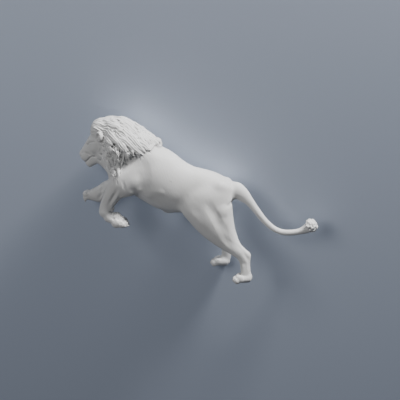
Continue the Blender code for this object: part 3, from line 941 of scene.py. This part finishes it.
def stroke(skin, line, width, depth, ends=0.35):
    line = np.array([tuple(p) for p in line], dtype=float)
    low = np.floor((line.min(0) - width) / CELL).astype(int)
    high = np.floor((line.max(0) + width) / CELL).astype(int) + 1
    box = itertools.product(*(range(a, b) for a, b in zip(low, high)))
    found = [skin["cells"][key] for key in box if key in skin["cells"]]
    if not found:
        return
    near = np.concatenate(found)
    at = skin["places"][near]
    best = np.full(len(near), 1e9)
    along = np.zeros(len(near))
    starts = np.concatenate([[0], np.cumsum(np.linalg.norm(np.diff(line, axis=0), axis=1))])
    for k in range(max(1, len(line) - 1)):
        a, d = line[k], line[min(k + 1, len(line) - 1)] - line[k]
        t = np.clip(((at - a) @ d) / max(d @ d, 1e-9), 0, 1)
        away = np.linalg.norm(at - (a + t[:, None] * d), axis=1)
        closer = away < best
        best[closer] = away[closer]
        along[closer] = (starts[k] + t * np.linalg.norm(d))[closer]
    fall = np.clip(1 - (best / width) ** 2, 0, 1) ** 2
    whole = starts[-1]
    fade = np.clip(np.minimum(along, whole - along) / (ends * whole), 0, 1) if whole > 0 else 1
    skin["moves"][near] += skin["normals"][near] * (fall * fade * depth)[:, None]


def carved(piece, skin):
    set_places(piece, skin["places"] + skin["moves"])


# %% [markdown]
# ## The face
# The mouth line runs back from the lips and turns down at its corner. The nostrils are commas on
# the nose leather, with the split of the upper lip below them. A crease runs from the eye back
# towards the ear, and another parts the nose from the pad of the lip. Each row is a path in the
# frame of the head, then the width and depth of the stroke.

# %% Carve the face
FACE_STROKES = [
    ([(40.8, 0, -9), (38, 3, -9), (35.8, 4.2, -8.8), (32.2, 5.4, -8.2), (28.7, 6.6, -7.5),
      (25.1, 7.5, -8.5), (22.6, 8, -10.8)], 1.3, -0.9, 0.12),
    ([(40.8, 1.6, -1), (39.4, 2.9, -1.5), (37.6, 3.7, -0.7)], 1.5, -1.6, 0.2),
    ([(37, 4, -0.2), (34.2, 4.9, 0.9), (31.4, 5.2, 0.4)], 1.7, -0.6, 0.35),
    ([(26, 4.6, 7.6), (23.6, 6, 5.2), (20.4, 7.4, 6), (15.6, 9, 5), (11.6, 10.4, 3.3)], 1.5, -0.8, 0.2),
    ([(26, 4, 8.2), (22.4, 5.8, 8.6), (17.6, 7.8, 8.2)], 2.2, 0.3, 0.4),
    ([(24.6, 5.6, 6.4), (21.4, 7.6, 4.8), (18, 9, 4.8)], 1.6, 0.3, 0.4),
    ([(32.6, 5.2, 0.6), (29.6, 6, -2.2), (27.6, 6.8, -5), (27.4, 6.8, -7.4)], 2, -0.8, 0.3),
    ([(24, 8, -12.4), (20.9, 8.5, -14.3), (18, 8, -15)], 1.3, -0.8, 0.4),
    ([(17, 10, -8.4), (14.8, 10.4, -9.8), (12.4, 10.6, -10)], 1.2, -0.7, 0.4),
]
SPLIT_LIP = [(41.6, 0, -1.4), (41, 0, -8)]
tree = skin_tree(lion)
skin = skin_of(lion)
for side in (1, -1):
    for path, width, depth, ends in FACE_STROKES:
        line = [tree.find_nearest(head @ Vector((x, side * y, z)))[0] for x, y, z in filled_in(path, 3)]
        stroke(skin, line, width, depth, ends)
stroke(skin, [head @ Vector(p) for p in SPLIT_LIP], 0.8, -0.8, 0.1)
carved(lion, skin)
for side in (1, -1):
    corner = head @ Vector((EYE[0] - 1, side * (EYE[1] + 1), EYE[2] - 0.5))
    rub(lion, bump_mask((*corner, 4)), 3)
print("face carved with", len(FACE_STROKES), "strokes a side")

# %% [markdown]
# ## Limbs and body
# Grooves part the long muscles of the forearm and thigh, tendons stand out over the wrist and
# hock, and small hollows sit at the joints. Each row is a path in the side view, then the width
# and depth of the stroke, and whether the other side has its twin. A pit is a gap between locks.

# %% Carve the limbs and body
BODY_STROKES = [
    ([(118.5, 188), (114.5, 195.5), (110.5, 202), (106.8, 208)], 3.2, -1.2, 0),
    ([(120, 191.5), (115.4, 198.5), (109.5, 206)], 3, 0.6, 0),
    ([(107.5, 190), (104.5, 198), (101.5, 206)], 2.4, 0.4, 0),
    ([(123.4, 180), (124.4, 186), (125.6, 192)], 2.4, -0.4, 0),
    ([(111, 213), (115, 219), (118.5, 224.5)], 2, 0.5, 0),
    ([(113.5, 218.4)], 2.6, -0.7, 0),
    ([(120, 223.4)], 2, -0.4, 0),
    ([(102.4, 185.6), (97.4, 193)], 2.8, -0.8, 0),
    ([(101.4, 191.6), (96, 199)], 2.6, -0.7, 0),
    ([(101, 194.5), (98.3, 201)], 1.4, 0.5, 0),
    ([(205, 200), (212, 211), (219, 224), (226, 237)], 6.5, -1.2, 1),
    ([(226.5, 212), (229, 226), (232.6, 238), (239, 247)], 4.6, 0.4, 0),
    ([(224, 211)], 8, 1.2, 1),
    ([(225, 205.6), (228.6, 205.4), (231.4, 202.4), (232.6, 198)], 3, -1, 0),
    ([(222, 233), (226, 240), (232, 246.5)], 4.4, -0.5, 0),
    ([(236, 241), (243, 248.6), (249.4, 253.6)], 2.4, 0.5, 0),
    ([(242.4, 252), (246.6, 257.4), (248.6, 262)], 2.8, -0.7, 0),
    ([(244, 263.8)], 3.4, -0.35, 0),
    ([(246.4, 262), (247.6, 270), (247, 275)], 1.8, 0.4, 0),
    ([(219, 184)], 9, 0.5, 0),
    ([(231, 186)], 4, -0.3, 0),
    ([(161, 193)], 5.4, 0.4, 1),
    ([(190, 206), (199, 214), (203, 226)], 6, -0.3, 1),
    ([(136, 182)], 9, 0.6, 1),
    ([(127, 190), (134, 191), (142, 196)], 4, -0.4, 1),
    ([(142, 158), (147, 172), (146, 186)], 6, -0.5, 1),
    ([(99.8, 146), (99.4, 149), (98.2, 152.4)], 1.7, 0.7, 1),
    ([(98.4, 160.6), (101, 160.4)], 2.4, -0.7, 1),
    ([(116.6, 120.6), (120.6, 121.6)], 1.9, -1, 0),
]
PITS = [
    (115.6, 145, 1.8, 1.7), (113.2, 147.4, 1.6, 1.3), (133.6, 157.6, 2.2, 1.4), (127, 164.5, 2.2, 1.2),
    (160.5, 144.4, 2.4, 0.9), (104.5, 151.5, 2.2, 1), (101.6, 154.5, 2.8, 0.8),
    (104.6, 146.8, 2, 0.8), (110, 158, 2, 0.9), (122, 158, 2.4, 1), (129, 153, 2, 1), (118, 151, 2, 0.9),
]
tree = skin_tree(lion)
skin = skin_of(lion)
pits = [(touch(tree, u, v, side), size, deep) for u, v, size, deep in PITS for side in (1, -1)]
for spot, size, deep in pits:
    stroke(skin, [spot], size, -deep)
for path, width, depth, twin in BODY_STROKES:
    for side in (1, -1)[: 1 + twin]:
        line = [touch(tree, u, v, side) for u, v in (filled_in(path, 3) if len(path) > 1 else path)]
        stroke(skin, line, width, depth)
carved(lion, skin)
rub(lion, bump_mask(*((*spot, size * 0.7) for spot, size, _ in pits)), 2)
print("body strokes", len(BODY_STROKES), "and pits", len(pits))

# %% [markdown]
# ## Strand grooves and short coat
# Fine grooves are cut along the hair over the whole mane, so that each strand is scored as with a
# needle. The coat of the body gets the same move, far shallower and straight, which only shows
# where light grazes it. The starts are drawn at random over the skin, with a fixed seed.


# %% Comb the mane and the coat
def trail_along(tree, start, steps, waving):
    trail = [start]
    for _ in range(steps):
        place, normal = tree.find_nearest(trail[-1])[:2]
        along = flow_at(place, waving)
        trail.append(place + (along - normal * along.dot(normal)).normalized() * STEP)
    return trail


MANE_GROOVES = 200
COAT_STROKES = 500
tree = skin_tree(lion)
skin = skin_of(lion)
places = skin["places"]
dice = random.Random(5)
wanted = {"mane": MANE_GROOVES, "coat": COAT_STROKES}
combed = {"mane": 0, "coat": 0}
while combed != wanted:
    start = Vector(places[dice.randrange(len(places))])
    on_head = (to_head @ start).x > 9 and start.z > 115
    where = "mane" if start.x > 60 and start.z > 98 and inside_mane(start) > 1 and not on_head else "coat"
    if on_head or start.z < 12 or combed[where] == wanted[where]:
        continue
    combed[where] += 1
    if where == "mane":
        line = trail_along(tree, start, dice.randint(6, 11), 1)
        stroke(skin, line, 0.62, -0.42, 0.3)
    else:
        line = trail_along(tree, start, dice.randint(5, 10), 0.15)
        stroke(skin, line, 1, -dice.uniform(0.03, 0.08), 0.5)
carved(lion, skin)
print("combed", combed)

# %% [markdown]
# ## Knowing a groove from a ridge
# The finish paints shade into the grooves, so it needs to know how deep each point lies. The points
# are smoothed in a copy, and where the smooth skin ends up outside the carved one there is a groove. The
# depths are kept with a
# search tree of the carved skin, so they can be looked up again after the reducing.

# %% Measure the grooves
places, normals = mesh_arrays(lion)
kept = places.copy()
rub(lion, lambda at: np.ones(len(at)), 22)
groove_depth = ((mesh_arrays(lion)[0] - kept) * normals).sum(1)
set_places(lion, kept)
groove_tree = skin_tree(lion)
groove_corner = np.array([p.vertices[0] for p in lion.data.polygons])
print("deepest groove", round(float(groove_depth.max()), 2), "cm of the animal")

# %% [markdown]
# ## Soles and resting flats
# The soles are cut flat. The figure stands on nothing in this pose: its weight is far ahead of
# the hind paws, so it tips over, and it is laid on its right side as one puts it down. Three
# small flats there keep it from rolling, and they come from one cut along the table.


# %% Cut flats with Bisect
def cut_below(piece, height):
    """Cuts a piece off at a height and closes the cut."""
    select(piece)
    bpy.ops.object.mode_set(mode="EDIT")
    bpy.ops.mesh.select_all(action="SELECT")
    bpy.ops.mesh.bisect(
        plane_co=(0, 0, height), plane_no=(0, 0, 1), use_fill=True, clear_inner=True, threshold=1e-6
    )
    bpy.ops.object.mode_set(mode="OBJECT")


cut_below(lion, SOLE_HEIGHT + SOLE_CUT)

# %% [markdown]
# ## Reducing, then laying it down
# Decimate keeps small triangles where the carving is and large ones on plain coat. The figure
# is then brought to its real size and turned, and everything under the table plane is cut off.

# %% Reduce and lay down
applied(lion, "DECIMATE", ratio=min(1, MOST_TRIANGLES / (2 * len(lion.data.polygons))))
turned = Vector(REST_UP).normalized().rotation_difference(Vector((0, 0, 1))).to_matrix().to_4x4()
laid = Matrix.Translation(SHIFT) @ Matrix.Rotation(math.pi, 4, "Z") @ turned @ Matrix.Scale(CM, 4)
nearest = [groove_tree.find_nearest(v.co)[2] for v in lion.data.vertices]
# Groove depth on each point, which the finish turns into painted shade.
groove = lion.data.attributes.new("groove", "FLOAT", "POINT")
groove.data.foreach_set("value", np.clip(0.5 + groove_depth[groove_corner[nearest]], 0, 1))
lion.data.transform(laid)
cut_below(lion, 0)
print("triangles", sum(len(p.vertices) - 2 for p in lion.data.polygons))

# %% [markdown]
# ## No loose specks
# Where locks cross, the Remesh can leave a crumb or a tiny closed bubble. The whole skin is
# linked to the flat that it lies on, so all that isn't linked to the lowest point is deleted.

# %% Drop loose specks
count = len(lion.data.vertices)
lowest = min(lion.data.vertices, key=lambda v: v.co.z).index
select(lion)
bpy.ops.object.mode_set(mode="EDIT")
bpy.ops.mesh.select_mode(type="VERT")
bpy.ops.mesh.select_all(action="DESELECT")
mesh = bmesh.from_edit_mesh(lion.data)
mesh.verts.ensure_lookup_table()
mesh.verts[lowest].select_set(True)
bmesh.update_edit_mesh(lion.data)
bpy.ops.mesh.select_linked()
bpy.ops.mesh.select_all(action="INVERT")
bpy.ops.mesh.delete(type="VERT")
bpy.ops.object.mode_set(mode="OBJECT")
print("loose points dropped", count - len(lion.data.vertices))

# %% [markdown]
# ## The print
# The real piece is matte white: an uncoated print with a dry, chalky skin. Its colour is not
# one number: painted shade darkens the grooves, and the powder is very slightly uneven.
# A fine grain breaks the light. The short coat is a noise drawn out long in the direction in
# which the hair of the flank lies, in degrees from the table's X.


# %% Matte white print
COAT_LIES = -78


def white_print():
    material = bpy.data.materials.new("white_print")
    material.use_nodes = True
    nodes, links = material.node_tree.nodes, material.node_tree.links
    shader = nodes["Principled BSDF"]
    shader.inputs["Specular IOR Level"].default_value = 0.35

    def node(kind, **values):
        made = nodes.new("ShaderNode" + kind)
        for name, value in values.items():
            made.inputs[name.replace("_", " ")].default_value = value
        return made

    def ramp(low, high):
        made = node("ValToRGB")
        for element, (position, colour) in zip(made.color_ramp.elements, (low, high)):
            element.position = position
            element.color = (*colour, 1)
        return made

    place = node("TexCoord")
    cloud = node("TexNoise", Scale=45, Detail=5)
    tone = ramp((0.3, (0.70, 0.69, 0.67)), (0.7, (0.78, 0.775, 0.765)))
    # Painted shade: the groove depth turns the base colour darker in the grooves.
    groove = node("Attribute")
    groove.attribute_name = "groove"
    shade = ramp((0.54, (1, 1, 1)), (1, (0.55, 0.55, 0.56)))
    mixed = nodes.new("ShaderNodeMix")
    mixed.data_type = "RGBA"
    mixed.blend_type = "MULTIPLY"
    mixed.inputs["Factor"].default_value = 1
    rough = node("MapRange", To_Min=0.5, To_Max=0.66)
    grain = node("TexNoise", Scale=3200, Detail=2)
    bump = node("Bump", Strength=0.1, Distance=0.0002)
    lay = node("Mapping")
    lay.vector_type = "TEXTURE"
    lay.inputs["Rotation"].default_value = (0, 0, math.radians(COAT_LIES))
    lay.inputs["Scale"].default_value = (1 / 150, 1 / 1200, 1 / 500)
    coat = node("TexNoise", Scale=1, Detail=3, Distortion=0.3)
    hairs = node("Bump", Strength=0.2, Distance=0.0004)
    for start, end in (
        (place.outputs["Object"], cloud.inputs["Vector"]),
        (place.outputs["Object"], grain.inputs["Vector"]),
        (place.outputs["Object"], lay.inputs["Vector"]),
        (lay.outputs["Vector"], coat.inputs["Vector"]),
        (coat.outputs["Fac"], hairs.inputs["Height"]),
        (hairs.outputs["Normal"], bump.inputs["Normal"]),
        (grain.outputs["Fac"], bump.inputs["Height"]),
        (cloud.outputs["Fac"], tone.inputs["Fac"]),
        (groove.outputs["Fac"], shade.inputs["Fac"]),
        (tone.outputs["Color"], mixed.inputs[6]),
        (shade.outputs["Color"], mixed.inputs[7]),
        (cloud.outputs["Fac"], rough.inputs["Value"]),
        (mixed.outputs[2], shader.inputs["Base Color"]),
        (rough.outputs["Result"], shader.inputs["Roughness"]),
        (bump.outputs["Normal"], shader.inputs["Normal"]),
    ):
        links.new(start, end)
    return material


lion.data.materials.clear()
lion.data.materials.append(white_print())
select(lion)
bpy.ops.object.shade_smooth_by_angle(angle=math.radians(50))
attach(lion, "root")
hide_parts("lion")
print("finish", lion.data.materials[0].name)

# %% [markdown]
# ## Table, light and camera
# The camera looks at the lion's left side from ten degrees behind square and nineteen above it,
# with a long lens. The lion lies on its right side, so that same view looks down on the table.
# The table is a plain pale blue, so that the white figure stands out from it. A small strong
# light rakes over the back and brings out the carving, and a wide weak one opens the shadows.

# %% Camera
FRAME_WIDTH = 400 * CM
LENS = 150
MEAN_DEPTH = 24 * CM
SENSOR = 36
PICTURE_MIDDLE = 200
turn, lift = math.radians(10), math.radians(19)
reared = Matrix.Rotation(math.pi, 4, "Z")
to_table = (laid @ Matrix.Scale(1 / CM, 4) @ reared).to_3x3()
back = Vector((math.sin(turn) * math.cos(lift), -math.cos(turn) * math.cos(lift), math.sin(lift)))
right = Vector((math.cos(turn), math.sin(turn), 0))
up = back.cross(right)
middle = right * ((PICTURE_MIDDLE - SEEN_U) * CM) + up * ((SEEN_V - PICTURE_MIDDLE) * CM)
back, right, up = (to_table @ v for v in (back, right, up))
middle = Vector(SHIFT) + to_table @ middle + back * MEAN_DEPTH
distance = FRAME_WIDTH * LENS / SENSOR
data = bpy.data.cameras.new("camera")
data.lens = LENS
data.sensor_width = SENSOR
data.clip_start = 0.01
camera = bpy.data.objects.new("camera", data)
facing = Matrix((right, up, back)).transposed().to_4x4()
camera.matrix_world = Matrix.Translation(middle + back * distance) @ facing
bpy.context.scene.collection.objects.link(camera)
bpy.context.scene.camera = camera
print("camera looks down by", round(math.degrees(math.asin(back.z))), "degrees")

# %% Table
deselect()
bpy.ops.mesh.primitive_plane_add(size=4, location=(0, 0, -0.0002))
table = bpy.context.object
table.name = "table"
paper = bpy.data.materials.new("pale_table")
paper.use_nodes = True
finish = paper.node_tree.nodes["Principled BSDF"].inputs
finish["Base Color"].default_value = (0.5, 0.56, 0.68, 1)
finish["Roughness"].default_value = 0.8
table.data.materials.append(paper)
print("table set")


# %% Lights
def soft_light(name, direction, distance, size, power):
    data = bpy.data.lights.new(name, "AREA")
    data.shape = "DISK"
    data.size = size
    data.energy = power
    lamp = bpy.data.objects.new(name, data)
    toward = (right * direction[0] + up * direction[1] + back * direction[2]).normalized()
    lamp.location = middle + toward * distance
    lamp.rotation_mode = "QUATERNION"
    lamp.rotation_quaternion = toward.to_track_quat("Z", "Y")
    bpy.context.scene.collection.objects.link(lamp)


soft_light("key", (0.5, 0.85, 0.45), 0.9, 0.28, 34)
soft_light("fill", (-0.8, 0.25, 0.8), 1.0, 0.6, 3)
world = bpy.data.worlds.new("studio")
bpy.context.scene.world = world
world.use_nodes = True
sky = world.node_tree.nodes["Background"].inputs
sky["Color"].default_value = (0.8, 0.85, 0.95, 1)
sky["Strength"].default_value = 0.1
print("lights set")
